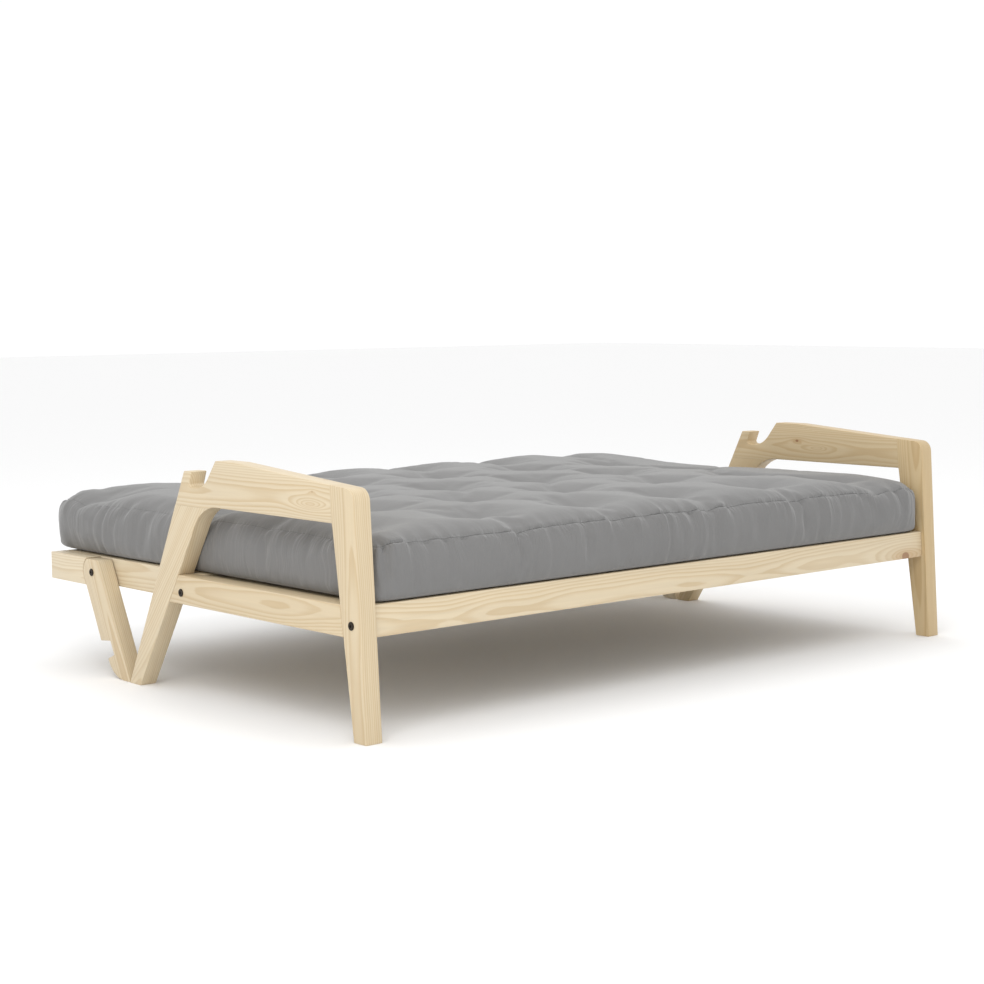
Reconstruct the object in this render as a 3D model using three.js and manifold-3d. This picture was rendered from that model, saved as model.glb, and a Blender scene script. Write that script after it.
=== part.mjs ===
// A futon sofa bed of solid pine, opened out flat as a bed.
// Millimetres. X runs along the bed, +Y from its front to its back, +Z up.
// Side views are drawn as (depth, height), with depth measured back from the toe of the front leg.
import * as THREE from "three";
import { mergeVertices } from "three/addons/utils/BufferGeometryUtils.js";
import Module from "manifold-3d";

const wasm = await Module();
wasm.setup();

// Overall sizes
const overallWidth = 2040;
const armThickness = 45;
const armDepth = 965; // toe of the front leg to the heel of the rear leg
const armHeight = 580;
const jointGap = 0.3; // between faces that touch

// Front leg: both edges lean back, and it widens upwards
const frontToeWidth = 43;
const frontEdgeSlope = 0.062;
const frontBackEdgeSlope = 0.146;
const frontCornerRadius = 30;

// Arm rail and the notch near its rear end
const armUnderside = 470;
const armFrontDrop = 32.5; // the arm is this much lower over the front leg
const crestLength = 82; // level stretch in front of the notch
const notchMouth = 134.5; // from the crest's end to the tab's rear edge
const notchDepth = 69.5;
const notchRadius = 70;
const notchSetback = 88; // from the crest's end to the middle of the notch's curve
const tabWidth = 32.5;
const tabDrop = 31; // the tab's top below the crest
const tabFoot = 12; // how far the tab's front edge leans back
const tabCorner = 8;

// Rear leg
const rearHeelWidth = 49;
const rearEdgeSlope = 0.489;
const rearFrontEdgeSlope = 0.625;
const armInnerRadius = 105;
const legJointDrop = 4; // rear leg's joint below the arm rail's underside

// Rails
const railTop = 296;
const railHeight = 70;
const railThickness = 36;
const frontRailSetback = 12;
const seatRearRailOffset = 12; // rail's middle in front of the rear leg's front edge
const ledgerWidth = 22;
const ledgerHeight = 30;
const ledgerInset = 45; // from the arm or side rail to the ledger's end

// Slats
const slatCount = 11;
const slatWidth = 68;
const slatThickness = 15;
const slatDrop = 4; // slat tops below the rails' tops
const slatEndGap = 3;
const seatSlatInset = 4; // from the arm to the outermost slat
const backSlatInset = 8; // from the back's side rail to the outermost slat

// Back frame, hinged in the rear legs
const sideClearance = 2; // back frame beside the arms
const hingeBelowRailTop = 38;
const hingeFromRearEdge = 27;
const hingeHeadClearance = 1.5; // hinge bolt's head behind the front cross rail
const backFoldMax = 77.5; // degrees

// Swing legs
const swingThickness = 42;
const swingOuterInset = 2; // behind the arm's outer face
const swingHalfWidth = 42.5;
const pivotBehindHeel = 180;
const backBehindPivot = 209;
const footGap = 2;
const swingTopDrop = 2;
const blockGap = 2;
const hookTip = [171, 42.5]; // along the leg from the pivot, and out to the rear
const hookInnerTop = [187, 0];
const hookInnerBottom = [225, 0];
const hookLip = [223.5, 32];
const footFlat = 33;

// Fasteners
const boltHeadRadius = 9.5;
const boltHeadHeight = 2.4;
const boltHeadRim = 1.4; // height of the head's straight rim, below its chamfer
const boltHeadTop = 8.2; // radius inside the chamfer
const boltRadius = 4;
const boltClearance = 0.4;
const boltEndInset = 3; // a leg bolt stops short of its rail's inner face
const boringSpare = 10; // hole deeper than its bolt
const cutMargin = 1; // cutting shapes start outside the wood
const socketRadius = 3.4;
const socketDepth = 1.6;
const connectorBelowRailTop = 42;
const connectorFrontOffset = 18.5; // bolt behind the front rail's face
const connectorReach = 50; // into the end of a rail
const nutInset = 34;
const nutRadius = 6;
const nutEndInset = 3; // inside the rail's inner face
const nutSkin = 7; // wood left between the nut's bore and the rail's front face
const nutClearance = 0.4;
const hingeBoltBite = 28; // into the rear leg

// Mattress
const mattressSideGap = 4; // beside each arm
const mattressFront = 22;
const mattressOverhang = 30; // behind the back frame
const mattressLift = 1.5;
const mattressThickness = 146;
const mattressTopRadius = 60;
const mattressBottomRadius = 35;
const foldGap = 1;

// Places worked out from the sizes above
const armOuter = overallWidth / 2;
const armInner = armOuter - armThickness;
const railBottom = railTop - railHeight;
const railMiddle = railTop - railHeight / 2;
const slatTop = railTop - slatDrop;
const slatBottom = slatTop - slatThickness;
const backRailOuter = armInner - sideClearance;
const backRailInner = backRailOuter - railThickness;
const hinge = new THREE.Vector2(0, railTop - hingeBelowRailTop);
hinge.x = rearEdge(hinge.y) - hingeFromRearEdge;
const pivot = new THREE.Vector2(armDepth + pivotBehindHeel, railMiddle);
const backEnd = pivot.x + backBehindPivot;
const totalDepth = backEnd + mattressOverhang;
const connectorHeight = railTop - connectorBelowRailTop;
const seatRearRail = rearLegFrontEdge(railTop) - seatRearRailOffset;
const frontCrossAt = hinge.x - boltHeadRadius - hingeHeadClearance - railThickness;

const pine = { color: 0xe0c796, roughness: 0.55, metalness: 0 };
const cloth = { color: 0x8c8c8a, roughness: 0.95, metalness: 0 };
const darkMetal = { color: 0x2b241e, roughness: 0.45, metalness: 0.8 };
const steel = { color: 0xa9a9a6, roughness: 0.4, metalness: 0.9 };

// Edges of the arm's side view, as depth at a height
function frontEdge(height) {
  return frontEdgeSlope * height;
}

function frontLegBackEdge(height) {
  return frontToeWidth + frontBackEdgeSlope * height;
}

function rearEdge(height) {
  return armDepth - rearEdgeSlope * height;
}

function rearLegFrontEdge(height) {
  return armDepth - rearHeelWidth - rearFrontEdgeSlope * height;
}

function armTop(depth) {
  const low = frontEdge(armHeight);
  const high = crestEnd() - crestLength;
  const share = Math.min((depth - low) / (high - low), 1);
  return armHeight - armFrontDrop * (1 - share);
}

function crestEnd() {
  return rearEdge(armHeight - tabDrop) - notchMouth;
}

// Points along an arc of a side view, angles in radians
function arc(centre, radius, from, to, steps) {
  const points = [];
  for (let i = 0; i <= steps; i += 1) {
    const angle = from + ((to - from) * i) / steps;
    points.push([centre[0] + radius * Math.cos(angle), centre[1] + radius * Math.sin(angle)]);
  }
  return points;
}

// The arc that rounds the corner b between a and c
function roundCorner(a, b, c, radius, steps) {
  const corner = new THREE.Vector2(...b);
  const toA = new THREE.Vector2(...a).sub(corner).normalize();
  const toC = new THREE.Vector2(...c).sub(corner).normalize();
  const half = Math.acos(toA.dot(toC)) / 2;
  const middle = toA.clone().add(toC).normalize().multiplyScalar(radius / Math.sin(half)).add(corner);
  const start = toA.multiplyScalar(radius / Math.tan(half)).add(corner).sub(middle);
  const end = toC.multiplyScalar(radius / Math.tan(half)).add(corner).sub(middle);
  let turn = end.angle() - start.angle();
  if (turn > Math.PI) turn -= 2 * Math.PI;
  if (turn < -Math.PI) turn += 2 * Math.PI;
  return arc(middle.toArray(), radius, start.angle(), start.angle() + turn, steps);
}

// A solid board with the given side view, from xLow to xHigh
function board(points, xLow, xHigh, holes = []) {
  const shape = new THREE.Shape(points.map(([depth, height]) => new THREE.Vector2(depth, height)));
  for (const hole of holes) {
    const path = new THREE.Path();
    path.absarc(hole.centre.x, hole.centre.y, hole.radius, 0, 2 * Math.PI, true);
    shape.holes.push(path);
  }
  const settings = { depth: xHigh - xLow, bevelEnabled: false, curveSegments: 12 };
  const geometry = new THREE.ExtrudeGeometry(shape, settings);
  const sideView = new THREE.Matrix4().makeBasis(
    new THREE.Vector3(0, 1, 0),
    new THREE.Vector3(0, 0, 1),
    new THREE.Vector3(1, 0, 0),
  );
  geometry.applyMatrix4(sideView);
  geometry.translate(xLow, 0, 0);
  return geometry;
}

function leaningBar(front, slope, thickness, low, high) {
  return [
    [front + slope * low, low],
    [front + slope * low + thickness, low],
    [front + slope * high + thickness, high],
    [front + slope * high, high],
  ];
}

function uprightBar(front, thickness, low, high) {
  return leaningBar(front, 0, thickness, low, high);
}

function rod(radius, length, axis, centre, sides = 24) {
  const geometry = new THREE.CylinderGeometry(radius, radius, length, sides);
  const turn = new THREE.Quaternion().setFromUnitVectors(new THREE.Vector3(0, 1, 0), axis);
  geometry.applyQuaternion(turn);
  geometry.translate(centre.x, centre.y, centre.z);
  return geometry;
}

// Geometry to a solid for cutting, and back
function solid(geometry) {
  const bare = geometry.clone();
  bare.deleteAttribute("normal");
  bare.deleteAttribute("uv");
  const merged = mergeVertices(bare, 1e-3);
  const triVerts = new Uint32Array(merged.index.array);
  const vertProperties = merged.attributes.position.array;
  return new wasm.Manifold(new wasm.Mesh({ numProp: 3, vertProperties, triVerts }));
}

function cut(geometry, tools) {
  let body = solid(geometry);
  for (const tool of tools) body = body.subtract(solid(tool));
  const mesh = body.getMesh();
  const result = new THREE.BufferGeometry();
  result.setAttribute("position", new THREE.BufferAttribute(mesh.vertProperties, 3));
  result.setIndex(new THREE.BufferAttribute(mesh.triVerts, 1));
  result.computeVertexNormals();
  return result;
}

const along = new THREE.Vector3(1, 0, 0);
const across = new THREE.Vector3(0, 1, 0);
const model = new THREE.Group();
model.position.y = -totalDepth / 2;

function add(name, geometry, finish) {
  const mesh = new THREE.Mesh(geometry, new THREE.MeshStandardMaterial(finish));
  mesh.name = name;
  model.add(mesh);
}

// Low and high X of a layer that lies between two distances from the middle, on one side
function span(side, near, far) {
  return side < 0 ? [-far, -near] : [near, far];
}

function boltHole(centre) {
  return { centre, radius: boltRadius + boltClearance };
}

const frontConnector = new THREE.Vector2(
  frontRailSetback + frontEdgeSlope * connectorHeight + connectorFrontOffset,
  connectorHeight,
);
const rearConnector = new THREE.Vector2(seatRearRail, connectorHeight);

function armJointDepth(height) {
  return frontLegBackEdge(armUnderside) + frontEdgeSlope * (height - armUnderside);
}

// The top of the arm meets the front leg's joint line here
function armJointTop() {
  const depth = armJointDepth(armHeight);
  return [depth, armTop(depth)];
}

function frontLeg(side) {
  const jointTop = armJointTop();
  const corner = [frontEdge(armHeight - armFrontDrop), armTop(frontEdge(armHeight))];
  const outline = [
    [0, 0],
    [frontToeWidth, 0],
    [frontLegBackEdge(armUnderside), armUnderside],
    jointTop,
    ...roundCorner(jointTop, corner, [0, 0], frontCornerRadius, 8),
  ];
  return board(outline, ...span(side, armInner, armOuter), [boltHole(frontConnector)]);
}

// The curve between the arm rail's underside and the rear leg's front edge
const innerCorner = [rearLegFrontEdge(armUnderside), armUnderside];
const innerCurve = (() => {
  const legAngle = Math.atan(rearFrontEdgeSlope);
  const open = Math.PI / 2 + legAngle;
  const tangent = armInnerRadius / Math.tan(open / 2);
  const centre = [innerCorner[0] - tangent, armUnderside - armInnerRadius];
  const jointAngle = Math.asin((armInnerRadius - legJointDrop) / armInnerRadius);
  return { centre, legAngle, jointAngle };
})();
const legJoint = armUnderside - legJointDrop;

function notchCurve() {
  const centre = [crestEnd() + notchSetback, armHeight - notchDepth + notchRadius];
  const toCrest = [crestEnd() - centre[0], armHeight - centre[1]];
  const reach = Math.hypot(...toCrest);
  const tangentAngle = Math.atan2(-toCrest[1], -toCrest[0]) + Math.acos(notchRadius / reach) - Math.PI;
  return arc(centre, notchRadius, -Math.PI / 2, tangentAngle, 10);
}

function armRail(side) {
  const joint = armJointTop();
  const { centre, jointAngle } = innerCurve;
  const tabTop = armHeight - tabDrop;
  const notchBottom = armHeight - notchDepth;
  const tabFront = rearEdge(tabTop) - tabWidth;
  const tabRoot = tabFront + tabFoot;
  const outline = [
    [armJointDepth(armUnderside) + jointGap, armUnderside],
    ...arc(centre, armInnerRadius, Math.PI / 2, jointAngle, 4),
    [rearEdge(legJoint), legJoint],
    [rearEdge(tabTop), tabTop],
    [tabFront, tabTop],
    [tabRoot, notchBottom + tabCorner],
    [tabRoot - tabCorner / 2, notchBottom + tabCorner / 4],
    [tabRoot - tabCorner * 2, notchBottom],
    ...notchCurve(),
    [crestEnd(), armHeight],
    [crestEnd() - crestLength, armHeight],
    [joint[0] + jointGap, joint[1]],
  ];
  return board(outline, ...span(side, armInner, armOuter));
}

function rearLeg(side) {
  const { centre, legAngle, jointAngle } = innerCurve;
  const top = legJoint - jointGap;
  const outline = [
    [rearLegFrontEdge(0), 0],
    [armDepth, 0],
    [rearEdge(top), top],
    [centre[0] + armInnerRadius * Math.cos(jointAngle) + jointGap * 2, top],
    ...arc(centre, armInnerRadius, jointAngle, legAngle, 10).slice(1),
  ];
  const leg = board(outline, ...span(side, armInner, armOuter));
  return cut(leg, [boring(side, armInner, 1, hingeBoltBite + boltClearance, hinge)]);
}

function sideRail(side) {
  const outline = [
    [frontLegBackEdge(railBottom) + jointGap, railBottom],
    [rearLegFrontEdge(railBottom) - jointGap, railBottom],
    [rearLegFrontEdge(railTop) - jointGap, railTop],
    [frontLegBackEdge(railTop) + jointGap, railTop],
  ];
  return board(outline, ...span(side, armInner, armOuter), [boltHole(rearConnector)]);
}

// A bolt's hole along X, from the face at distance from the middle, inwards (-1) or outwards (1)
function boring(side, distance, direction, depth, centre) {
  const middleAt = distance + (direction * (depth - cutMargin)) / 2;
  const middle = new THREE.Vector3(side * middleAt, centre.x, centre.y);
  return rod(boltRadius + boltClearance, depth + cutMargin, along, middle);
}

// A barrel nut's bore or body along Y: it starts behind the rail's front face at depth front
function nutRod(radius, front, back, side, end, height) {
  const middle = new THREE.Vector3(side * (end - nutInset), (front + back) / 2, height);
  return rod(radius, back - front, across, middle);
}

function nutSpan(connector) {
  const front = connector.x - railThickness / 2 + nutSkin;
  return [front, connector.x + railThickness / 2];
}

// A long rail between the arms, bored at both ends for a bolt and its barrel nut
function boredRail(outline, connector) {
  const end = armInner - jointGap;
  const tools = [];
  for (const side of [-1, 1]) {
    tools.push(boring(side, end, -1, connectorReach + boringSpare, connector));
    const [front, back] = nutSpan(connector);
    tools.push(nutRod(nutRadius + nutClearance, front, back + railThickness, side, end, connector.y));
  }
  return cut(board(outline, -end, end), tools);
}

function barrelNut(side, connector) {
  const end = armInner - jointGap;
  const [front, back] = nutSpan(connector);
  const nut = nutRod(nutRadius, front + nutClearance, back - nutEndInset, side, end, connector.y);
  const boltMiddle = new THREE.Vector3(side * (end - nutInset), connector.x, connector.y);
  return cut(nut, [rod(boltRadius + boltClearance, nutRadius * 3, along, boltMiddle)]);
}

// A hexagon-socket bolt along X: its head sits on the face at headAt and looks towards facing
function bolt(centre, headAt, facing, length) {
  const profile = [
    new THREE.Vector2(0, -length),
    new THREE.Vector2(boltRadius, -length),
    new THREE.Vector2(boltRadius, 0),
    new THREE.Vector2(boltHeadRadius, 0),
    new THREE.Vector2(boltHeadRadius, boltHeadRim),
    new THREE.Vector2(boltHeadTop, boltHeadHeight),
    new THREE.Vector2(0, boltHeadHeight),
  ];
  const body = new THREE.LatheGeometry(profile, 24);
  const top = new THREE.Vector3(0, boltHeadHeight, 0);
  const socket = rod(socketRadius, socketDepth * 2, across, top, 6);
  const made = cut(body, [socket]);
  const outward = new THREE.Vector3(facing, 0, 0);
  made.applyQuaternion(new THREE.Quaternion().setFromUnitVectors(across, outward));
  made.translate(headAt + facing * jointGap, centre.x, centre.y);
  return made;
}

function frontRailOutline() {
  return leaningBar(frontRailSetback, frontEdgeSlope, railThickness, railBottom, railTop);
}

function seatRearRailOutline() {
  return uprightBar(seatRearRail - railThickness / 2, railThickness, railBottom, railTop);
}

const ledgerTop = slatBottom - jointGap;
const ledgerBottom = ledgerTop - ledgerHeight;

function ledger(front, slope, halfLength) {
  const outline = leaningBar(front, slope, ledgerWidth, ledgerBottom, ledgerTop);
  return board(outline, -halfLength, halfLength);
}

// Slats laid front to back, evenly spaced, the outermost ones ending halfWidth from the middle
function addSlats(prefix, front, back, halfWidth) {
  const pitch = (2 * halfWidth - slatWidth) / (slatCount - 1);
  const outline = uprightBar(front, back - front, slatBottom, slatTop);
  for (let i = 1; i <= slatCount; i += 1) {
    const start = -halfWidth + pitch * (i - 1);
    const geometry = board(outline, start, start + slatWidth);
    add(`${prefix}_slat_${String(i).padStart(2, "0")}`, geometry, pine);
  }
}

function backSideRail(side) {
  const outline = uprightBar(frontCrossAt, backEnd - frontCrossAt, railBottom, railTop);
  const holes = [boltHole(hinge), boltHole(pivot)];
  return board(outline, ...span(side, backRailInner, backRailOuter), holes);
}

// Where the swing leg's centre line runs: down and forward from the pivot
const swingLean = (() => {
  const toe = [armDepth + footGap, 0];
  const reach = Math.hypot(pivot.x - toe[0], pivot.y);
  return Math.atan2(pivot.x - toe[0], pivot.y) - Math.asin(swingHalfWidth / reach);
})();

function onSwingLeg([down, out]) {
  const sin = Math.sin(swingLean);
  const cos = Math.cos(swingLean);
  return [pivot.x - down * sin + out * cos, pivot.y - down * cos - out * sin];
}

// A block that fills the swing leg's layer behind the leg's rounded head, and stops the leg
function endBlock(side) {
  const radius = swingHalfWidth + blockGap;
  const topAngle = Math.asin((railTop - pivot.y) / radius);
  const drop = (pivot.y - railBottom - radius * Math.sin(swingLean)) / Math.cos(swingLean);
  const outline = [
    onSwingLeg([drop, radius]),
    [backEnd, railBottom],
    [backEnd, railTop],
    ...arc(pivot.toArray(), radius, topAngle, -swingLean, 10),
  ];
  return board(outline, ...span(side, backRailOuter + jointGap, armOuter - swingOuterInset));
}

function swingLeg(side) {
  const flat = Math.asin((railTop - swingTopDrop - pivot.y) / swingHalfWidth);
  const toe = [armDepth + footGap, 0];
  const lip = onSwingLeg(hookLip);
  const heel = toe[0] + footFlat;
  const footRadius = ((lip[0] - heel) ** 2 + lip[1] ** 2) / (2 * lip[1]);
  const lipAngle = Math.atan2(lip[1] - footRadius, lip[0] - heel);
  const outline = [
    toe,
    ...arc([heel, footRadius], footRadius, -Math.PI / 2, lipAngle, 8),
    onSwingLeg(hookInnerBottom),
    onSwingLeg(hookInnerTop),
    onSwingLeg(hookTip),
    ...arc(pivot.toArray(), swingHalfWidth, -swingLean, flat, 8),
    ...arc(pivot.toArray(), swingHalfWidth, Math.PI - flat, Math.PI - swingLean, 3),
  ];
  const far = armOuter - swingOuterInset;
  return board(outline, ...span(side, far - swingThickness, far), [boltHole(pivot)]);
}

// The mattress, cut at the fold so that its two halves close on each other as the back rises
const mattressBottom = railTop + mattressLift;
const mattressTop = mattressBottom + mattressThickness;
const mattressEnd = armInner - mattressSideGap;
const foldLean = Math.tan(THREE.MathUtils.degToRad(backFoldMax / 2));

function foldEdge(height, direction) {
  return hinge.x + direction * ((height - hinge.y) * foldLean + foldGap);
}

function mattressEdge(depth, direction) {
  const inside = depth - direction * mattressTopRadius * 2;
  const upper = [depth, mattressTop];
  const lower = [depth, mattressBottom];
  const top = roundCorner([inside, mattressTop], upper, lower, mattressTopRadius, 6);
  const bottom = roundCorner(upper, lower, [inside, mattressBottom], mattressBottomRadius, 4);
  return [...top, ...bottom];
}

function mattressSeat() {
  const outline = [
    ...mattressEdge(mattressFront, -1),
    [foldEdge(mattressBottom, -1), mattressBottom],
    [foldEdge(mattressTop, -1), mattressTop],
  ];
  return board(outline, -mattressEnd, mattressEnd);
}

function mattressBack() {
  const outline = [
    ...mattressEdge(totalDepth, 1),
    [foldEdge(mattressBottom, 1), mattressBottom],
    [foldEdge(mattressTop, 1), mattressTop],
  ].reverse();
  return board(outline, -mattressEnd, mattressEnd);
}

function mattressFold() {
  const outline = [
    [foldEdge(mattressBottom, -1) + jointGap, mattressBottom],
    [foldEdge(mattressBottom, 1) - jointGap, mattressBottom],
    [foldEdge(mattressTop, 1) - jointGap, mattressTop],
    [foldEdge(mattressTop, -1) + jointGap, mattressTop],
  ];
  return board(outline, -mattressEnd, mattressEnd);
}

for (const [name, side] of [
  ["left", -1],
  ["right", 1],
]) {
  add(`${name}_front_leg`, frontLeg(side), pine);
  add(`${name}_arm_rail`, armRail(side), pine);
  add(`${name}_rear_leg`, rearLeg(side), pine);
  add(`${name}_side_rail`, sideRail(side), pine);
  add(`${name}_back_rail`, backSideRail(side), pine);
  add(`${name}_end_block`, endBlock(side), pine);
  add(`${name}_swing_leg`, swingLeg(side), pine);
  const connectorLength = armThickness + connectorReach;
  const armFace = side * armOuter;
  add(`${name}_front_bolt`, bolt(frontConnector, armFace, side, connectorLength), darkMetal);
  add(`${name}_side_bolt`, bolt(rearConnector, armFace, side, connectorLength), darkMetal);
  add(`${name}_front_nut`, barrelNut(side, frontConnector), steel);
  add(`${name}_side_nut`, barrelNut(side, rearConnector), steel);
  const legFace = side * (armOuter - swingOuterInset);
  const legBoltLength = armOuter - swingOuterInset - backRailInner - boltEndInset;
  add(`${name}_leg_bolt`, bolt(pivot, legFace, side, legBoltLength), darkMetal);
  const hingeLength = railThickness + sideClearance + hingeBoltBite;
  add(`${name}_hinge_bolt`, bolt(hinge, side * backRailInner, -side, hingeLength), darkMetal);
}

add("front_rail", boredRail(frontRailOutline(), frontConnector), pine);
add("seat_rear_rail", boredRail(seatRearRailOutline(), rearConnector), pine);

const ledgerEnd = armInner - ledgerInset;
const frontLedgerAt = frontRailSetback + railThickness + jointGap;
add("seat_front_ledger", ledger(frontLedgerAt, frontEdgeSlope, ledgerEnd), pine);
const rearLedgerAt = seatRearRail - railThickness / 2 - jointGap - ledgerWidth;
add("seat_rear_ledger", ledger(rearLedgerAt, 0, ledgerEnd), pine);
const seatSlatFront = frontRailSetback + railThickness + frontEdgeSlope * railTop + slatEndGap;
const seatSlatBack = seatRearRail - railThickness / 2 - slatEndGap;
addSlats("seat", seatSlatFront, seatSlatBack, armInner - seatSlatInset);

const backCrossEnd = backRailInner - jointGap;
const rearCrossAt = backEnd - railThickness;
const backBar = (front) => uprightBar(front, railThickness, railBottom, railTop);
add("back_front_rail", board(backBar(frontCrossAt), -backCrossEnd, backCrossEnd), pine);
add("back_rear_rail", board(backBar(rearCrossAt), -backCrossEnd, backCrossEnd), pine);
const backLedgerEnd = backCrossEnd - ledgerInset;
add("back_front_ledger", ledger(frontCrossAt + railThickness + jointGap, 0, backLedgerEnd), pine);
add("back_rear_ledger", ledger(rearCrossAt - jointGap - ledgerWidth, 0, backLedgerEnd), pine);
const backSlatFront = frontCrossAt + railThickness + slatEndGap;
const backSlatBack = rearCrossAt - slatEndGap;
addSlats("back", backSlatFront, backSlatBack, backRailInner - backSlatInset);

add("mattress_seat", mattressSeat(), cloth);
add("mattress_fold", mattressFold(), cloth);
add("mattress_back", mattressBack(), cloth);

export default model;
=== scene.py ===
# %% [markdown]
# # A pine futon sofa bed, opened out as a bed
# The wooden frame has two arms, a slatted seat, and a slatted back that lies flat behind the seat.
# A thick cotton futon covers both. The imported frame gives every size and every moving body, and
# this lesson makes the surfaces that are seen: boards with eased arrises, dark bolts and the futon.

import math

import bmesh
import bpy
import numpy as np
from mathutils import Matrix, Vector, noise


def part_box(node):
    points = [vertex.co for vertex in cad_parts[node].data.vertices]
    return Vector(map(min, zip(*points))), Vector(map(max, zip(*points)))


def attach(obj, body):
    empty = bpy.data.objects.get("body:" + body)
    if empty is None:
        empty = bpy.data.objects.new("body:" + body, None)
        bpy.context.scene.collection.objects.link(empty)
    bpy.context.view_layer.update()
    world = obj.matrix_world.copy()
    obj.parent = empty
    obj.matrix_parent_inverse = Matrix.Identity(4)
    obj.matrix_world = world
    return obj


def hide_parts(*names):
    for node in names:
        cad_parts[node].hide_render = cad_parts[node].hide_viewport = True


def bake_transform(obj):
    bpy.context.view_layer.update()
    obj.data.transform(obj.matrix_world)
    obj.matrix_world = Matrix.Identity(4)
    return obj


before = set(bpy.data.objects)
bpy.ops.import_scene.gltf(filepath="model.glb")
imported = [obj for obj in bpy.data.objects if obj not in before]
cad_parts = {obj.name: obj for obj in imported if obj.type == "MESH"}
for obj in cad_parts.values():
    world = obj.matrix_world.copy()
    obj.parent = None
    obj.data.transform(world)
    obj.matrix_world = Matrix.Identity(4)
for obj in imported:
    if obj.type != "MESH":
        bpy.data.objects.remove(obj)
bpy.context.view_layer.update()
MM = 0.001

# %% [markdown]
# ## Camera, floor and light
# The bed is seen from its front left corner at about seat height, with a long lens so that the far
# arm isn't much smaller than the near one. The camera is turned by three plain rotations in order:
# heading, tilt and a very small roll. The room is a pale floor under a bright even sky, with one
# large soft panel high on the left that makes the front and the left-hand faces the lightest.

# %% Camera
CAMERA_PLACE = (-3.510, -3.931, 0.937)
HEADING = math.radians(41.375)
TILT = math.radians(-5.504)
ROLL = math.radians(-0.365)
LENS = 71.04

camera_data = bpy.data.cameras.new("camera")
camera_data.lens = LENS
camera_data.sensor_width = 36
camera = bpy.data.objects.new("camera", camera_data)
bpy.context.scene.collection.objects.link(camera)
camera.matrix_world = (
    Matrix.Translation(CAMERA_PLACE)
    @ Matrix.Rotation(-HEADING, 4, "Z")
    @ Matrix.Rotation(math.pi / 2 + TILT, 4, "X")
    @ Matrix.Rotation(ROLL, 4, "Z")
)
bpy.context.scene.camera = camera
print("camera at", CAMERA_PLACE)


# %% Link a mesh as an object
def link_mesh(name, bm):
    """A new object at the origin that holds this bmesh."""
    mesh = bpy.data.meshes.new(name)
    bm.to_mesh(mesh)
    bm.free()
    piece = bpy.data.objects.new(name, mesh)
    bpy.context.scene.collection.objects.link(piece)
    return piece


# %% Floor and light
FLOOR_SIZE = 60
floor_shape = bmesh.new()
bmesh.ops.create_grid(floor_shape, x_segments=1, y_segments=1, size=FLOOR_SIZE / 2)
floor = link_mesh("floor", floor_shape)

world = bpy.data.worlds.new("even sky")
bpy.context.scene.world = world
world.use_nodes = True
sky = world.node_tree.nodes["Background"]
sky.inputs["Color"].default_value = (1.0, 1.0, 1.0, 1)
sky.inputs["Strength"].default_value = 1.02


def soft_panel(name, place, target, size, power):
    """A square studio light at place that looks at target."""
    data = bpy.data.lights.new(name, "AREA")
    data.size = size
    data.energy = power
    panel = bpy.data.objects.new(name, data)
    bpy.context.scene.collection.objects.link(panel)
    aim = (Vector(target) - Vector(place)).to_track_quat("-Z", "Y")
    panel.matrix_world = Matrix.Translation(place) @ aim.to_matrix().to_4x4()
    return panel


soft_panel("key panel", (-3.2, -2.6, 3.6), (0, 0, 0.3), 2.6, 75)
soft_panel("top panel", (0.6, 0.8, 4.2), (0, 0, 0.3), 3.0, 30)
bpy.context.scene.view_settings.view_transform = "Standard"

# %% [markdown]
# ## Shader sums
# A material's pattern is a sum of simpler ones, so it reads best as a sum. Each socket is wrapped in
# a small class whose plus, minus, times and divide add Math nodes. Every other node comes from one
# method, which takes the node's settings first and the values of its sockets after.


# %% Wrap sockets
class Socket:
    """A node's output that can be used in sums."""

    def __init__(self, finish, socket):
        self.finish = finish
        self.socket = socket

    def math(self, operation, *others):
        return self.finish.node("ShaderNodeMath", {"operation": operation}, [self, *others])

    def __add__(self, other):
        return self.math("ADD", other)

    __radd__ = __add__

    def __mul__(self, other):
        return self.math("MULTIPLY", other)

    __rmul__ = __mul__

    def __sub__(self, other):
        return self.math("SUBTRACT", other)

    def __rsub__(self, other):
        return self * -1 + other

    def __truediv__(self, other):
        return self.math("DIVIDE", other)

    def __rtruediv__(self, other):
        return self ** -1.0 * other

    def __pow__(self, other):
        return self.math("POWER", other)


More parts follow.
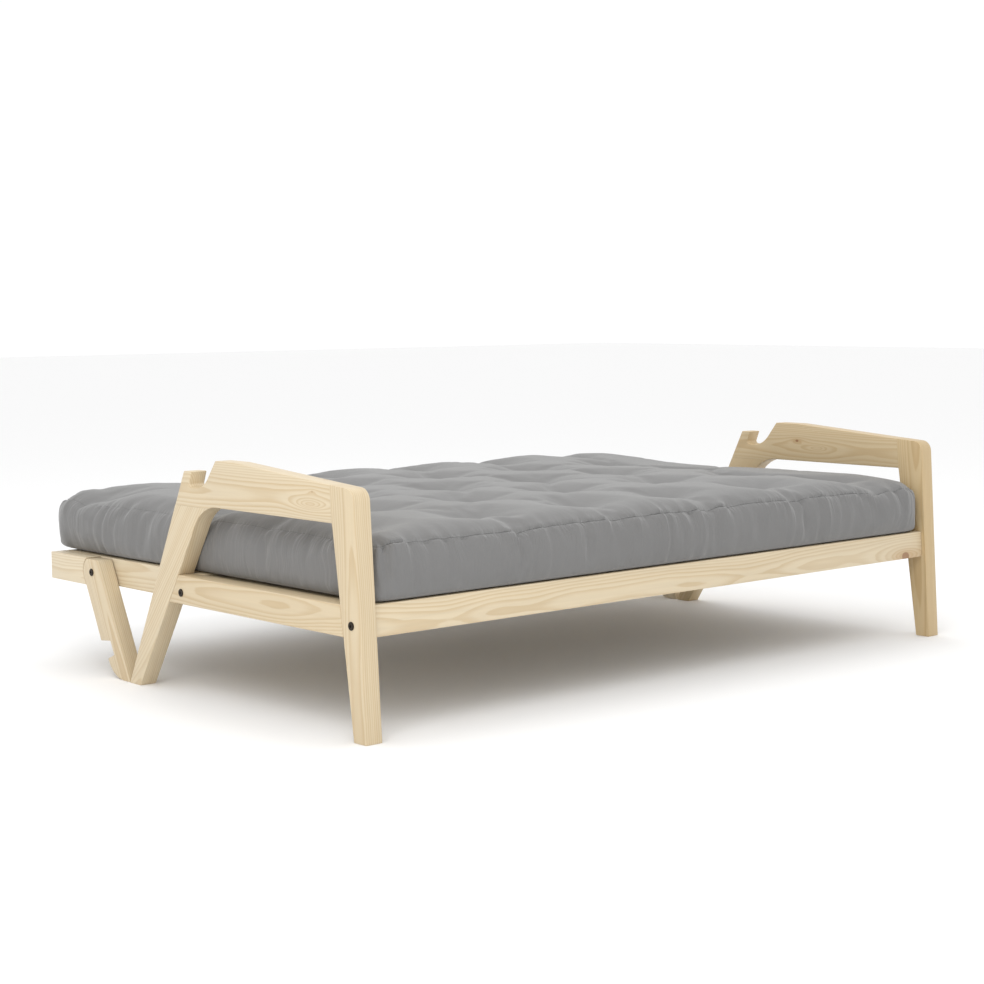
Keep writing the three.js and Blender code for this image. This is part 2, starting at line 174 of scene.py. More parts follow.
class Finish:
    """A material under construction."""

    def __init__(self, name):
        self.material = bpy.data.materials.new(name)
        self.material.use_nodes = True
        self.nodes = self.material.node_tree.nodes
        self.links = self.material.node_tree.links
        self.shader = self.nodes["Principled BSDF"]

    def node(self, kind, settings=None, inputs=(), output=0):
        made = self.nodes.new(kind)
        for key, value in (settings or {}).items():
            setattr(made, key, value)
        pairs = inputs.items() if isinstance(inputs, dict) else enumerate(inputs)
        for key, value in pairs:
            self.feed(made.inputs[key], value)
        return Socket(self, made.outputs[output])

    def feed(self, target, value):
        if isinstance(value, Socket):
            self.links.new(value.socket, target)
        else:
            target.default_value = value

    def feed_shader(self, **inputs):
        for key, value in inputs.items():
            self.feed(self.shader.inputs[key.replace("_", " ")], value)

    def attribute(self, name, output="Vector"):
        return self.node("ShaderNodeAttribute", {"attribute_name": name}, output=output)

    def stretch(self, vector, scale):
        settings = {"operation": "MULTIPLY"}
        return self.node("ShaderNodeVectorMath", settings, [vector, scale])

    def noise(self, vector, scale=(1, 1, 1), detail=2.0, roughness=0.5):
        inputs = {"Vector": self.stretch(vector, scale), "Scale": 1.0, "Detail": detail}
        inputs["Roughness"] = roughness
        return self.node("ShaderNodeTexNoise", {}, inputs, output="Fac")

    def split(self, vector):
        parts = self.node("ShaderNodeSeparateXYZ", {}, [vector]).socket.node
        return [Socket(self, parts.outputs[i]) for i in range(3)]

    def join(self, x, y, z):
        return self.node("ShaderNodeCombineXYZ", {}, [x, y, z])

    def rise(self, value, low, high):
        """0 below low, 1 above high, and smooth between."""
        settings = {"interpolation_type": "SMOOTHSTEP"}
        inputs = {"Value": value, "From Min": low, "From Max": high}
        return self.node("ShaderNodeMapRange", settings, inputs)

    def blend(self, share, first, second):
        settings = {"data_type": "RGBA"}
        inputs = {0: share, 6: first, 7: second}
        return self.node("ShaderNodeMix", settings, inputs, output=2)

    def bump(self, height, distance, strength=1.0, below=None):
        inputs = {"Height": height, "Distance": distance, "Strength": strength}
        if below is not None:
            inputs["Normal"] = below
        return self.node("ShaderNodeBump", {}, inputs)


print("shader sums ready")

# %% [markdown]
# ## Floor finish
# The floor only has to carry the bed's shadow. It could have a grain or a shine of its own, but a
# plain matt white keeps every eye on the bed, so its finish is the shortest use of the class above.

# %% Floor finish
floor_finish = Finish("pale floor")
floor_grey = (0.93, 0.93, 0.93, 1)
floor_finish.feed_shader(Base_Color=floor_grey, Roughness=0.9)
floor.data.materials.append(floor_finish.material)
print("floor finish:", floor_finish.material.name)

# %% [markdown]
# ## Pine
# Pine shows the growth rings of the tree: a pale band of spring wood, then a thin amber band of
# summer wood. A board is a slice through those rings, so the pattern is worked out in the round, as
# cylinders about the heart of the tree, and each face shows its own cut of them: long flames on a
# flat face, lines on an edge and arcs on an end. Every board carries an attribute named board, its
# place in its own tree: along the trunk, and two distances from the heart. Knots are branches that
# run straight out from the heart, so their places are spots on a map of trunk height and direction.
# Chance puts most of them there. A second attribute, named knot, gives a board one more at a chosen
# place, and a third, its tone, says how far the wood has mellowed from pale to amber. On the far arm
# the tone is set high as painted shade, since the faces seen there lie in shade.

# %% Pine finish
RING_WIDTH = 5.2 * MM
KNOT_CELLS = (1.7, 8.0)  # per metre, along the trunk and round it
MAP_RADIUS = 0.08  # turns a direction into a distance round the trunk
SPRING_WOOD = (0.680, 0.590, 0.435, 1)
SUMMER_WOOD = (0.540, 0.410, 0.240, 1)
WARM_WOOD = (0.620, 0.510, 0.345, 1)
KNOT_WOOD = (0.300, 0.155, 0.070, 1)
KNOT_HALO = (0.500, 0.330, 0.165, 1)
MELLOWING_AND_SHADE = (0.25, 0.37, 0.58)  # what full tone takes from red, green and blue: mellowing, and painted shade on the far arm
NEVER_ZERO = 1e-5
HAIR = 0.1 * MM
print("rings are", RING_WIDTH, "m apart")


# %% Parts of a knot
def knot_parts(pine, away_along, away_round, size, ripple):
    """How far a knot bends the rings, and how much is its amber halo and its dark core."""
    near = (away_along * away_along + away_round * away_round).math("SQRT") / size
    long_near = (away_along * away_along * 0.22 + away_round * away_round).math("SQRT") / size
    bend = size * 2.0 / (1.0 + (long_near / 2.4) ** 2.0)
    halo = 1.0 / (1.0 + (long_near / 1.6) ** 4.0)
    rings = (near * 2.6 + ripple * 1.5).math("SINE") * 0.12 + 0.82
    core = (1.0 - pine.rise(near, 0.80, 1.08)) * rings
    return bend, halo, core


# %% Make the pine
def make_pine():
    pine = Finish("clear lacquered pine")
    board = pine.attribute("board")
    tone_and_shade = pine.attribute("tone_and_shade", output="Fac")
    along, side, out = pine.split(board)
    round_trunk = side.math("ARCTAN2", out) * MAP_RADIUS
    ripple = pine.noise(board, (7.0, 55.0, 55.0), detail=2.0) - 0.5
    spot = pine.join(along * KNOT_CELLS[0], round_trunk * KNOT_CELLS[1], 0.0)
    settings = {"voronoi_dimensions": "2D"}
    cells = pine.node("ShaderNodeTexVoronoi", settings, {"Vector": spot, "Scale": 1.0}, output="Position")
    luck, present, _ = pine.split(Socket(pine, cells.socket.node.outputs["Color"]))
    away = pine.node("ShaderNodeVectorMath", {"operation": "SUBTRACT"}, [spot, cells])
    away_along, away_round, _ = pine.split(away)
    present = pine.rise(present, 0.62, 0.66)
    size = (luck * 6.0 * MM + 4.0 * MM) * present + NEVER_ZERO
    away_along = away_along / KNOT_CELLS[0]
    away_round = away_round / KNOT_CELLS[1]
    bend, halo, core = knot_parts(pine, away_along, away_round, size, ripple)
    knot_along, knot_round, knot_size = pine.split(pine.attribute("knot"))
    dark = pine.rise(knot_size, -HAIR, HAIR)
    size = knot_size.math("ABSOLUTE") + NEVER_ZERO
    away_along = along - knot_along
    away_round = round_trunk - knot_round
    own_bend, own_halo, own_core = knot_parts(pine, away_along, away_round, size, ripple)
    halo = (halo * present).math("MAXIMUM", own_halo * (dark * 0.8 + 0.2))
    core = (core * present).math("MAXIMUM", own_core * dark)
    drift_side = pine.noise(board, (1.5, 3.0, 3.0), detail=1.0) - 0.5
    drift_out = pine.noise(board, (2.3, 4.0, 4.0), detail=1.0) - 0.5
    side = side + drift_side * 0.050
    out = out + drift_out * 0.030
    radius = (side * side + out * out).math("SQRT") + ripple * 3.0 * MM
    radius = radius - bend - own_bend
    spread = pine.noise(pine.join(radius * 45.0, 0.0, 0.0), detail=0.0)
    ring = (radius / RING_WIDTH + spread * 1.6).math("FRACT")
    summer = pine.rise(ring, 0.25, 0.86) * (1.0 - pine.rise(ring, 0.90, 1.0))
    season = pine.noise(pine.join(radius * 70.0, along * 0.8, 0.0), detail=1.0)
    streak = pine.noise(board, (2.2, 130.0, 130.0), detail=3.0, roughness=0.6)
    fibre = pine.noise(board, (18.0, 900.0, 900.0), detail=2.0, roughness=0.7)
    colour = pine.blend(pine.rise(season, 0.35, 0.75) * 0.35, SPRING_WOOD, WARM_WOOD)
    colour = pine.blend(summer * (season * 0.85 + 0.12), colour, SUMMER_WOOD)
    colour = pine.blend(halo * 0.60, colour, KNOT_HALO)
    colour = pine.blend(core, colour, KNOT_WOOD)
    light = 0.90 + streak * 0.15 + fibre * 0.06
    # Tone darkens and warms the wood: its own mellowing, and painted shade where a board is given high
    # tone for the shade it lies in.
    amber_and_shade = pine.join(*[light * (1.0 - tone_and_shade * taken) for taken in MELLOWING_AND_SHADE])
    settings = {"data_type": "RGBA", "blend_type": "MULTIPLY"}
    colour = pine.node("ShaderNodeMix", settings, {0: 1.0, 6: colour, 7: amber_and_shade}, output=2)
    grain = fibre * 0.6 + summer * 0.5 + streak * 0.3
    relief = pine.bump(grain, 0.25 * MM, strength=0.35)
    roughness = 0.40 + fibre * 0.12 + summer * 0.05 - core * 0.08
    pine.feed_shader(Base_Color=colour, Roughness=roughness, Normal=relief)
    pine.feed_shader(Coat_Weight=0.12, Coat_Roughness=0.32, IOR=1.5)
    return pine.material


pine_finish = make_pine()
print("pine finish:", len(pine_finish.node_tree.nodes), "nodes")

# %% [markdown]
# ## Boards
# Each board was sawn, planed and then had its arrises eased with a router, which is what catches
# the light along every edge. The frame's boards have the right outline but sharp edges, so a copy
# of each is merged, its flat faces are joined back together, and its long edges are bevelled. Where
# two boards are glued and sanded flush, the edges stay sharp, so only a hairline shows.

# %% Board maker
EASED = 2.6 * MM
SHORTEST_ARRIS = 1.6 * MM  # shorter edges belong to bolt holes
SMOOTH_BELOW = math.radians(32)


def longest_direction(points):
    """The way that a board's grain runs, from the spread of its corners."""
    spread = points - points.mean(axis=0)
    direction = np.linalg.svd(spread, full_matrices=False)[2][0]
    return Vector(direction * np.sign(direction[np.abs(direction).argmax()]))


def inside(point, region):
    low, high = region
    return all(low[i] <= point[i] <= high[i] for i in range(3))


def store(piece, name, kind, layer, values):
    """Keeps one value, or one triple, for each point of a piece."""
    attribute = piece.data.attributes.new(name, kind, "POINT")
    attribute.data.foreach_set(layer, np.ascontiguousarray(values, dtype=np.float32).ravel())


def place_in_tree(piece, along, heart, start, knot):
    """Gives every corner its place in the tree that the board was sawn from.

    knot is one branch of that tree: how far along the board from its middle, how far aside, and its
    radius, which is below zero where the branch stayed under the surface and only bends the rings."""
    points = np.array([v.co for v in piece.data.vertices])
    middle = Vector((points.min(axis=0) + points.max(axis=0)) / 2)
    out = Vector((1, 0, 0)) if abs(along.x) < 0.7 else Vector((0, 1, 0))
    out = (out - along * out.dot(along)).normalized()
    side = along.cross(out)
    axes = np.array([along, side, out])
    local = (points - np.array(middle)) @ axes.T + np.array([start, heart[0], heart[1]])
    store(piece, "board", "FLOAT_VECTOR", "vector", local)
    knot_along, knot_side, knot_radius = knot
    knot_round = math.atan2(heart[0] + knot_side, heart[1]) * MAP_RADIUS
    spot = np.array([start + knot_along, knot_round, knot_radius])
    store(piece, "knot", "FLOAT_VECTOR", "vector", np.tile(spot, (len(points), 1)))


NO_KNOT = (50.0, 0.0, 0.0)  # far past the end of every board


def make_board(node, body, start, heart, flush=(), eased=EASED, tone_and_shade=None, knot=NO_KNOT):
    """A board with eased arrises in place of a frame node.

    start is how far up the trunk it was sawn, and heart is how far off the heart, aside and out."""
    bm = bmesh.new()
    bm.from_mesh(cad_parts[node].data)
    bmesh.ops.remove_doubles(bm, verts=bm.verts, dist=0.01 * MM)
    bmesh.ops.dissolve_limit(
        bm,
        angle_limit=math.radians(1),
        verts=bm.verts,
        edges=bm.edges,
        use_dissolve_boundaries=False,
    )
    points = np.array([v.co for v in bm.verts])
    grain = longest_direction(points)
    arrises = []
    for edge in bm.edges:
        if len(edge.link_faces) != 2 or edge.calc_face_angle(0) < SMOOTH_BELOW:
            continue
        if edge.calc_length() < SHORTEST_ARRIS:
            continue
        glued = any(all(inside(v.co, region) for v in edge.verts) for region in flush)
        if not glued:
            arrises.append(edge)
    bmesh.ops.bevel(
        bm,
        geom=arrises,
        offset=eased,
        segments=3,
        profile=0.5,
        affect="EDGES",
        material=-1,
        clamp_overlap=True,
    )
    piece = link_mesh(f"{node}_board", bm)
    place_in_tree(piece, grain, heart, start, knot)
    shade = (start * 0.618) % 0.4 if tone_and_shade is None else tone_and_shade
    store(piece, "tone_and_shade", "FLOAT", "value", np.full(len(piece.data.vertices), shade))
    piece.data.shade_smooth()
    piece.data.set_sharp_from_angle(angle=SMOOTH_BELOW)
    piece.data.materials.append(pine_finish)
    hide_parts(node)
    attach(piece, body)
    return piece


# %% [markdown]
# ## Arms and frame boards
# Each arm is three boards glued into one shape and sanded flush: a front leg, a long rail and a
# raking rear leg. Each could be a single bevelled outline, but then the grain would run one way
# through all three, where a real arm shows it turning at each joint. So every board is its own
# piece, and the edges that meet in a joint are found by the region that they lie in.

# %% Glued joints of the arms
JOINT_LEAN = 9 * MM  # how far a sloping joint runs past the end of its board
FAR = 3.0


def arm_joints(side):
    """The regions of an arm's boards whose edges are glued flush."""
    leg_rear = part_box(f"{side}_front_leg")[1][1]
    _, arm_front, arm_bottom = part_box(f"{side}_arm_rail")[0]
    rear_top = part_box(f"{side}_rear_leg")[1][2]
    low = (-FAR, -FAR, -FAR)
    high = (FAR, FAR, FAR)
    leg = ((-FAR, leg_rear - JOINT_LEAN, arm_bottom - JOINT_LEAN), high)
    rail_front = (low, (FAR, arm_front + JOINT_LEAN, FAR))
    rail_rear = (low, (FAR, FAR, arm_bottom + MM))
    rear = ((-FAR, -FAR, rear_top - MM), high)
    return [leg], [rail_front, rail_rear], [rear]


# %% Arms, legs and rails
boards = []
for side in ("left", "right"):
    turn = 0.0 if side == "left" else 11.3
    leg_joint, rail_joints, rear_joint = arm_joints(side)
    # The right arm is the far one, whose faces that are seen lie in shade, so its tone is set high as
    # painted shade.
    amber_and_shade = 0.20 if side == "left" else 0.62
    rail_knot = (-0.235, 0.022, -0.011) if side == "left" else (-0.02, 0.010, -0.006)
    arms = (
        ("front_leg", 2.3, (0.02, 0.07), leg_joint, NO_KNOT, amber_and_shade + 0.15),
        ("arm_rail", 5.9, (-0.015, 0.06), rail_joints, rail_knot, amber_and_shade),
        ("rear_leg", 8.2, (0.03, 0.075), rear_joint, NO_KNOT, amber_and_shade),
    )
    for part, start, heart, flush, knot, tone_and_shade in arms:
        node = f"{side}_{part}"
        piece = make_board(node, "frame", start + turn, heart, flush=flush, tone_and_shade=tone_and_shade, knot=knot)
        boards.append(piece)
    boards.append(make_board(f"{side}_side_rail", "frame", 12.9 + turn, (0.01, 0.07)))
    boards.append(make_board(f"{side}_back_rail", "back", 17.7 + turn, (0.02, 0.08)))
    boards.append(make_board(f"{side}_end_block", "back", 21.4 + turn, (-0.02, 0.07), eased=1.4 * MM))
    leg, body = f"{side}_swing_leg", f"{side}_leg"
    boards.append(make_board(leg, body, 25.6 + turn, (0.015, 0.065), eased=1.8 * MM))
print("boards of the sides:", len(boards))

# %% Cross rails and ledgers
FRONT_RAIL_KNOT = (0.900, -0.034, 0.017)
boards.append(make_board("front_rail", "frame", 41.0, (0.012, 0.075), tone_and_shade=0.22, knot=FRONT_RAIL_KNOT))
boards.append(make_board("seat_rear_rail", "frame", 47.0, (0.02, 0.08)))
boards.append(make_board("back_front_rail", "back", 53.0, (0.015, 0.07)))
boards.append(make_board("back_rear_rail", "back", 59.0, (-0.01, 0.07)))
for number, node in enumerate(("seat_front_ledger", "seat_rear_ledger")):
    boards.append(make_board(node, "frame", 65.0 + 5 * number, (0.03, 0.07), eased=1.5 * MM))
for number, node in enumerate(("back_front_ledger", "back_rear_ledger")):
    boards.append(make_board(node, "back", 77.0 + 5 * number, (0.03, 0.07), eased=1.5 * MM))
print("boards so far:", len(boards))

# %% [markdown]
# ## Slats
# The slats are narrow boards cut from many different trunks, so no two show the same rings. One
# board could be copied along the bed, but the copies would show through the gaps. The same maker
# with a new start and heart for each slat costs nothing more.

# %% Slats
SLAT_COUNT = 11
for number in range(1, SLAT_COUNT + 1):
    for part, body in (("seat", "frame"), ("back", "back")):
        node = f"{part}_slat_{number:02d}"
        start = 90.0 + number * 3.7 + (50 if part == "back" else 0)
        heart = (0.03 * math.sin(number * 2.1), 0.05 + 0.02 * math.cos(number * 1.3))
        boards.append(make_board(node, body, start, heart, eased=2 * MM))
print("boards:", len(boards))

# %% [markdown]
# ## Bolts
# The frame is held by hexagon-socket bolts of dark bronzed steel, whose flat round heads sit on the
# wood. They are small, so their finish does most of the work: a metal that is rougher where the
# coating is thin. The barrel nuts that they screw into are plain zinc plated steel.


# %% Bolt finish
def make_bolt_metal():
    metal = Finish("dark bronzed steel")
    place = metal.node("ShaderNodeTexCoord", output="Object")
    patch = metal.noise(place, (220, 220, 220), detail=3.0)
    colour = metal.blend(patch, (0.018, 0.014, 0.011, 1), (0.050, 0.038, 0.028, 1))
    metal.feed_shader(Base_Color=colour, Roughness=0.34 + patch * 0.20, Metallic=0.85)
    return metal.material


def make_nut_metal():
    metal = Finish("zinc plated steel")
    place = metal.node("ShaderNodeTexCoord", output="Object")
    patch = metal.noise(place, (160, 160, 160), detail=3.0)
    colour = metal.blend(patch, (0.46, 0.46, 0.44, 1), (0.62, 0.62, 0.60, 1))
    metal.feed_shader(Base_Color=colour, Roughness=0.30 + patch * 0.15, Metallic=1.0)
    return metal.material


bolt_metal = make_bolt_metal()
nut_metal = make_nut_metal()
for name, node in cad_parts.items():
    if name.endswith("_bolt") or name.endswith("_nut"):
        node.material_slots[0].material = bolt_metal if name.endswith("_bolt") else nut_metal
print("bolts finished")

# %% [markdown]
# ## Futon
# The futon is a cotton cover with a top panel, a bottom panel and a border sewn between them, stuffed
# and then tied through with tufts. It could be sculpted by hand, but a real cover gets its shape
# from pressure inside and from the places where it is held, so it is simulated: a rounded box of
# cloth whose bottom lies on the slats and whose tufts are held down, blown up a little.

# %% Sizes of the futon
seat_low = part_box("mattress_seat")[0]
back_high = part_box("mattress_back")[1]
FUTON_SPREAD = Vector((1, 8, 0)) * MM  # stuffing pushes the border out past the frame's plain solid
futon_low = Vector(seat_low) - Vector((FUTON_SPREAD.x, 0, 0))
futon_high = Vector(back_high) + FUTON_SPREAD
futon_middle = (futon_low + futon_high) / 2
futon_half = (futon_high - futon_low) / 2
CLOTH_CELLS = (118, 84, 9)
TOP_ROUND = 60 * MM
BOTTOM_ROUND = 24 * MM
print("futon half size:", [round(c, 4) for c in futon_half])


# %% Cut the cover
def cut_cover():
    bm = bmesh.new()
    bmesh.ops.create_cube(bm, size=2.0)
    for axis, cells in enumerate(CLOTH_CELLS):
        edges = [e for e in bm.edges if abs(e.verts[0].co[axis] - e.verts[1].co[axis]) > 1e-4]
        bmesh.ops.subdivide_edges(bm, edges=edges, cuts=cells - 1, use_grid_fill=True)
    bmesh.ops.scale(bm, vec=futon_half, verts=bm.verts)
    return link_mesh("futon", bm)


def read_points(mesh, layer="co"):
    """The points, or the normals, of a mesh as rows of three."""
    rows = np.empty(len(mesh.vertices) * 3, dtype=np.float32)
    mesh.vertices.foreach_get(layer, rows)
    return rows.reshape(-1, 3).astype(float)


def write_points(mesh, points):
    mesh.vertices.foreach_set("co", points.astype(np.float32).ravel())
    mesh.update()


futon = cut_cover()
pattern = read_points(futon.data)
cut = futon.data.attributes.new("cut", "FLOAT_VECTOR", "POINT")
cut.data.foreach_set("vector", pattern.astype(np.float32).ravel())
print("cover:", len(pattern), "points")

# %% Round the cover
half = np.array(futon_half)
height_share = (pattern[:, 2] / half[2] + 1) / 2
rounding = BOTTOM_ROUND + (TOP_ROUND - BOTTOM_ROUND) * height_share
limit = half - rounding[:, None]
core = np.clip(pattern, -limit, limit)
outward = pattern - core
outward /= np.linalg.norm(outward, axis=1)[:, None]
shape = core + outward * rounding[:, None]
FREE_BULGE = 12 * MM
CORNER_TUCK = 9 * MM  # the stuffing doesn't fill the two front corners
arm_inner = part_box("right_arm_rail")[0][0]
arm_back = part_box("right_rear_leg")[1][1]
EDGE_ZONE = 0.10  # how far in from its edges the futon swells or tucks in
FREE_RUN = 0.12  # how far past the arms its ends take to swell
free = np.clip((shape[:, 1] + futon_middle.y - arm_back) / FREE_RUN, 0, 1)
swell = np.sqrt(np.clip(1 - (shape[:, 2] / half[2]) ** 2, 0, 1))
sideways = np.clip((np.abs(shape[:, 0]) - half[0] + EDGE_ZONE) / EDGE_ZONE, 0, 1)
rearwards = np.clip((shape[:, 1] - half[1] + EDGE_ZONE) / EDGE_ZONE, 0, 1)
shape[:, 0] += np.sign(shape[:, 0]) * FREE_BULGE * free * swell * sideways
shape[:, 1] += FREE_BULGE * swell * rearwards
forwards = np.clip((-shape[:, 1] - half[1] + EDGE_ZONE) / EDGE_ZONE, 0, 1)
tuck = CORNER_TUCK * sideways**2 * forwards**2
shape[:, 0] -= np.sign(shape[:, 0]) * tuck
shape[:, 1] += tuck
# Places where the stuffing lies higher or lower: across, along the depth, reach and height.
SETTLED = (
    (0.93, 0.12, 0.30, -0.017),
    (0.95, -0.40, 0.30, -0.009),
    (0.80, 0.62, 0.16, 0.006),
    (-0.92, 0.62, 0.16, 0.011),
    (-0.30, 0.60, 0.20, 0.003),
    (-0.70, -0.62, 0.25, -0.004),
)
upper = np.clip((shape[:, 2] / half[2] + 1) / 2, 0, 1)
for x, y, spread, rise in SETTLED:
    near_place = np.exp(-((shape[:, 0] - x) ** 2 + (shape[:, 1] - y) ** 2) / spread**2)
    shape[:, 2] += rise * near_place * upper
print("rounded by", TOP_ROUND, "to", BOTTOM_ROUND)

# %% [markdown]
# ## Tufts
# A tuft is a thread pulled right through the futon, which draws the top panel down into a dimple
# with a steep middle and a wide mouth. A dip that falls off with distance has that shape. The
# tufts stand in staggered rows, each a little off its mark, as they are tied by hand.

# %% Tufts
TUFT_PITCH = 0.335
TUFT_ROWS = (  # place along the depth, first tuft and number of tufts
    (-0.522, -0.895, 6),
    (-0.261, -0.675, 5),
    (0.0, -0.900, 6),
    (0.261, -0.665, 5),
    (0.522, -0.890, 6),
)
TUFT_DEPTH = 19 * MM
TUFT_REACH = 34 * MM
TUFT_HELD = 11 * MM
TUFT_STRAY = 22 * MM
tufts = []
for row_depth, first, count in TUFT_ROWS:
    for i in range(count):
        stray_x, stray_y = (
            noise.noise(Vector((i * 3.7, row_depth * 9.1, level))) * TUFT_STRAY for level in (1.3, 5.8)
        )
        tufts.append((first + i * TUFT_PITCH + stray_x, row_depth + stray_y))
on_top = pattern[:, 2] > half[2] * 0.99
on_bottom = pattern[:, 2] < -half[2] * 0.99
top_share = np.clip((shape[:, 2] - half[2] * 0.2) / (half[2] * 0.8), 0, 1)
held = on_bottom.copy()
dip = np.zeros(len(shape))
for x, y in tufts:
    distance = np.hypot(shape[:, 0] - x, shape[:, 1] - y)
    dip = np.maximum(dip, np.exp(-distance / TUFT_REACH))
    held |= on_top & (distance < TUFT_HELD)
shape[:, 2] -= dip * top_share * TUFT_DEPTH
write_points(futon.data, shape + np.array(futon_middle))
print("tufts:", len(tufts), "held points:", int(held.sum()))

# %% [markdown]
# ## Pressure
# The stuffing presses the cover out between the tufts. The swelling could be drawn as a bulge in
# each gap, but cloth that stretches from tuft to tuft makes its own ridges and hollows, so it is
# simulated with pressure inside and no gravity. How far a point may move is capped, and the result
# is kept as the mesh, so nothing is left to simulate later.

# %% Blow it up
CLOTH_FRAMES = 22
PRESSURE = 1.8
SLACK = 0.014  # the cover is this share larger than its stuffing
MOST_MOVE = 18 * MM
group = futon.vertex_groups.new(name="held")
group.add([int(i) for i in np.nonzero(held)[0]], 1.0, "REPLACE")


def blow_up(piece):
    """Runs the cloth and gives back where its points end."""
    cloth = piece.modifiers.new("cloth", "CLOTH")
    settings = cloth.settings
    settings.vertex_group_mass = "held"
    settings.quality = 6
    settings.mass = 0.35
    settings.tension_stiffness = 12
    settings.compression_stiffness = 12
    settings.shear_stiffness = 4
    settings.bending_stiffness = 0.25
    settings.air_damping = 4
    settings.use_pressure = True
    settings.uniform_pressure_force = PRESSURE
    settings.shrink_min = -SLACK
    settings.effector_weights.gravity = 0
    cloth.collision_settings.use_collision = False
    cloth.point_cache.frame_end = CLOTH_FRAMES
    scene = bpy.context.scene
    for step in range(1, CLOTH_FRAMES + 1):
        scene.frame_set(step)
    evaluated = piece.evaluated_get(bpy.context.evaluated_depsgraph_get())
    points = read_points(evaluated.data)
    piece.modifiers.remove(cloth)
    scene.frame_set(1)
    return points


before = read_points(futon.data)
moved = blow_up(futon) - before
far = np.linalg.norm(moved, axis=1)
print("cloth moved", round(far.mean() / MM, 1), "mm on average,", round(far.max() / MM, 1), "at most")
moved *= np.minimum(1, MOST_MOVE / np.maximum(far, 1e-9))[:, None]
write_points(futon.data, before + moved)

# %% [markdown]
# ## Finer cloth
# The simulated net is coarse, to be quick. One subdivision smooths it and gives the points that the
# seams and puckers need. The flat pattern is an attribute of the points, so it is subdivided too.

# %% Finer cloth
finer = futon.modifiers.new("finer", "SUBSURF")
finer.levels = 1
finer.render_levels = 1
fine_mesh = bpy.data.meshes.new_from_object(futon.evaluated_get(bpy.context.evaluated_depsgraph_get()))
futon.modifiers.remove(finer)
futon.data = fine_mesh
futon.vertex_groups.clear()
points = read_points(futon.data)
normals = read_points(futon.data, "normal")
rows = np.empty(len(points) * 3, dtype=np.float32)
futon.data.attributes["cut"].data.foreach_get("vector", rows)
pattern = rows.reshape(-1, 3).astype(float)
print("fine cloth:", len(points), "points,", len(futon.data.polygons), "faces")

# %% [markdown]
# The cover is sewn from panels, and sewing gathers it. The seam pulls a fine groove into the cloth, and
# from it puckers run down the border and a little way into the top panel. They are ridges across
# the seam whose strength fades with distance from it, so they are made from each point's place on the
# flat pattern: how far it lies from the seam, and how far along.

# %% Distance from the seam
SEAM_GROOVE = 3.2 * MM
SEAM_REACH = 9 * MM
PUCKER_HEIGHT = 4.6 * MM
PUCKER_PITCH = 27 * MM
PUCKER_ZONE = 0.14  # no pucker starts further than this from the seam
CLUSTER_PITCH = 0.16
BORDER_RUN = 55 * MM
TOP_RUN = 26 * MM
edge_inset = half - np.abs(pattern)
border = np.minimum(edge_inset[:, 0], edge_inset[:, 1]) < 1.0 * MM
top_seam = np.where(border, half[2] - pattern[:, 2], np.minimum(edge_inset[:, 0], edge_inset[:, 1]))
top_seam = np.where(pattern[:, 2] > -half[2] * 0.99, top_seam, 1.0)
on_end = edge_inset[:, 0] < edge_inset[:, 1]
along_seam = np.where(on_end, pattern[:, 1], pattern[:, 0])
face_number = np.where(on_end, 1, 0) + 2 * (pattern[:, 0] + pattern[:, 1] > 0)
seam_tightness = np.where(on_end, 0.45, 1.0)
print("points on the border:", int(border.sum()))

# %% Seams and puckers


def ripple(u, v, seed):
    return noise.noise(Vector((u, v, seed)))


pucker = np.zeros(len(points))
for i in np.nonzero(top_seam < PUCKER_ZONE)[0]:
    u = along_seam[i]
    s = top_seam[i]
    seed = float(face_number[i]) * 7.7 + 0.43  # off the lattice, where this noise is weak
    fine = ripple(u / PUCKER_PITCH, s * 4.0 + 0.4, seed)
    fine += 0.6 * ripple(u / PUCKER_PITCH * 2.1, s * 5.0 + 0.4, seed + 3)
    strength = 0.55 + 1.1 * max(0.0, 0.5 + ripple(u / CLUSTER_PITCH, 0.4, seed + 20))
    reach = BORDER_RUN if border[i] else TOP_RUN
    rise = min(1.0, s / (10 * MM)) * math.exp(-s / reach)
    side_wrinkle = (0.6 if on_end[i] else 0.4) if border[i] else 0.0
    pucker[i] = fine * strength * (rise * 2.2 * seam_tightness[i] + side_wrinkle)
groove = np.exp(-((top_seam / SEAM_REACH) ** 2)) * seam_tightness
lift = pucker * PUCKER_HEIGHT - groove * SEAM_GROOVE
points += normals * lift[:, None]
print("puckers up to", round(float(np.abs(pucker).max() * PUCKER_HEIGHT / MM), 1), "mm")

# %% [markdown]
# ## Room in the frame
# Between the arms the futon is squeezed, and below it lies flat on the slats. A collision in the
# simulation could do this, but both limits are plain planes, so the points are simply held inside.

# %% Keep clear of the frame
ARM_CLEARANCE = 1.5 * MM
between_arms = points[:, 1] < arm_back
room = np.where(between_arms, arm_inner - ARM_CLEARANCE, futon_high.x + MOST_MOVE)
points[:, 0] = np.clip(points[:, 0], -room, room)
points[:, 2] = np.maximum(points[:, 2], futon_low.z)
write_points(futon.data, points)
print("futon box:", points.min(axis=0).round(4), points.max(axis=0).round(4))

# %% [markdown]
# ## Cotton
# The cover is a heavy plain weave in grey, matt, with a soft bloom of loose fibre that shows as
# sheen at low angles. Three scales make it: the crossing threads and lint, the slow patches where
# dye took differently, and the fine gathers that hang from the seam. All read the flat pattern, so
# they follow the cloth wherever pressure and the fold have taken it.


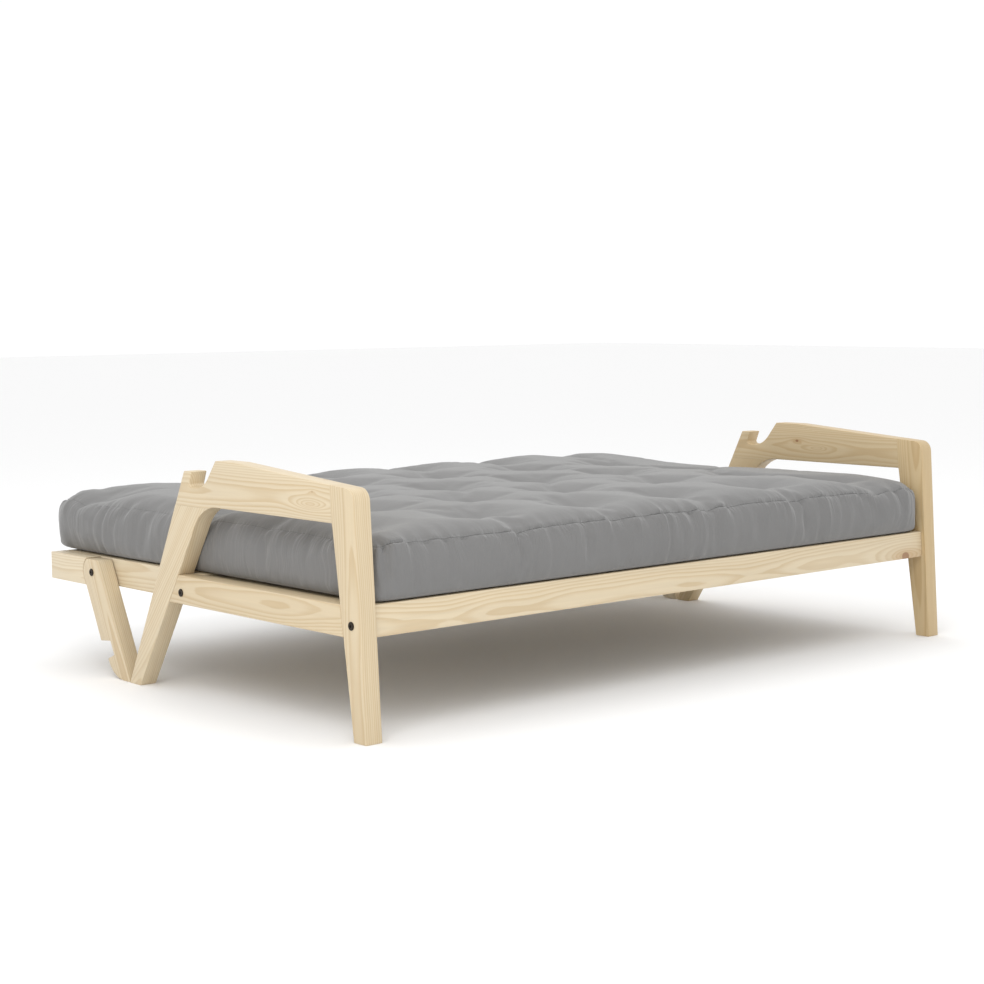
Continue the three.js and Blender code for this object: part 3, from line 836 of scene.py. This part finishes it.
# %% Seam gathers
def seam_gathers(cotton, along, seam, on_border, at_end):
    """The height of the folds that sewing leaves, and the seam's groove, which is also painted as a line
    of shade.
    """
    wander = cotton.noise(cotton.join(along * 7.0, seam * 9.0, 2.0), detail=1.0) * 0.05
    place = cotton.join((along + wander) * 55.0, seam * 6.0, 0.0)
    gather = cotton.noise(place, detail=2.0, roughness=0.6)
    cluster = cotton.noise(cotton.join(along * 6.5, seam * 3.0, 7.0), detail=1.0)
    cluster = cotton.rise(cluster, 0.32, 0.62)
    crease = cotton.noise(cotton.join(along * 11.0, seam * 8.0, 4.0), detail=3.0, roughness=0.6)
    run = on_border * (38 + at_end * 40) * MM + 14 * MM
    fade = 1.0 / (1.0 + (seam / run) ** 2.0)
    # How deep the seam's groove is and how dark its painted shade, varying along the seam.
    seam_shade_and_depth = cotton.noise(cotton.join(along * 4.0, 0.0, 11.0), detail=1.0)
    line = 1.0 - cotton.rise(seam, 0.7 * MM, 2.4 * MM)
    line = line * (seam_shade_and_depth * 1.2 + 0.1) * (1.0 - at_end * 0.6)
    pull = (cluster * 5.5 + 1.2) * (1.0 - at_end * 0.5)
    return gather * fade * pull + crease * 0.9 - line * 0.8, line


# %% Futon finish
THREADS = 2200.0  # radians of weave per metre
PALE_COTTON = (0.200, 0.1975, 0.195, 1)
GREY_COTTON = (0.160, 0.1585, 0.156, 1)
SEAM_SHADE = (0.07, 0.07, 0.07, 1)


def make_cotton():
    cotton = Finish("grey cotton")
    cut_place = cotton.attribute("cut")
    x, y, z = cotton.split(cut_place)
    warp = (x * THREADS).math("SINE")
    weft = (y * THREADS).math("SINE")
    patch = cotton.noise(cut_place, (3.0, 3.0, 3.0), detail=3.0)
    lint = cotton.noise(cut_place, (900, 900, 900), detail=2.0)
    end_inset = half[0] - x.math("ABSOLUTE")
    side_inset = half[1] - y.math("ABSOLUTE")
    inset = end_inset.math("MINIMUM", side_inset)
    drop = half[2] - z
    on_border = 1.0 - cotton.rise(inset, 0.5 * MM, 1.5 * MM)
    seam = inset + drop
    at_end = cotton.rise(side_inset - end_inset, -HAIR, HAIR)
    along = y * at_end + x * (1.0 - at_end)
    folds, line = seam_gathers(cotton, along, seam, on_border, at_end)
    broad = cotton.bump(folds, 3.0 * MM, strength=0.75)
    relief = cotton.bump(warp * weft * 0.5 + lint, 0.3 * MM, strength=0.35, below=broad)
    colour = cotton.blend(patch * 0.6 + lint * 0.3, GREY_COTTON, PALE_COTTON)
    # Painted shade along the seam's groove.
    colour = cotton.blend(line * 0.55, colour, SEAM_SHADE)
    cotton.feed_shader(Base_Color=colour, Roughness=0.92, Normal=relief)
    cotton.feed_shader(Sheen_Weight=0.30, Sheen_Roughness=0.42)
    return cotton.material


futon.data.materials.append(make_cotton())
futon.data.shade_smooth()
print("futon finish:", futon.data.materials[0].name)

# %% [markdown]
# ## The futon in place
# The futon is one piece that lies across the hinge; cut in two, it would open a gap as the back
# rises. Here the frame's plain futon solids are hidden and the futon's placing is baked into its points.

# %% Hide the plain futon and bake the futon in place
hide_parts("mattress_seat", "mattress_fold", "mattress_back")
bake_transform(futon)
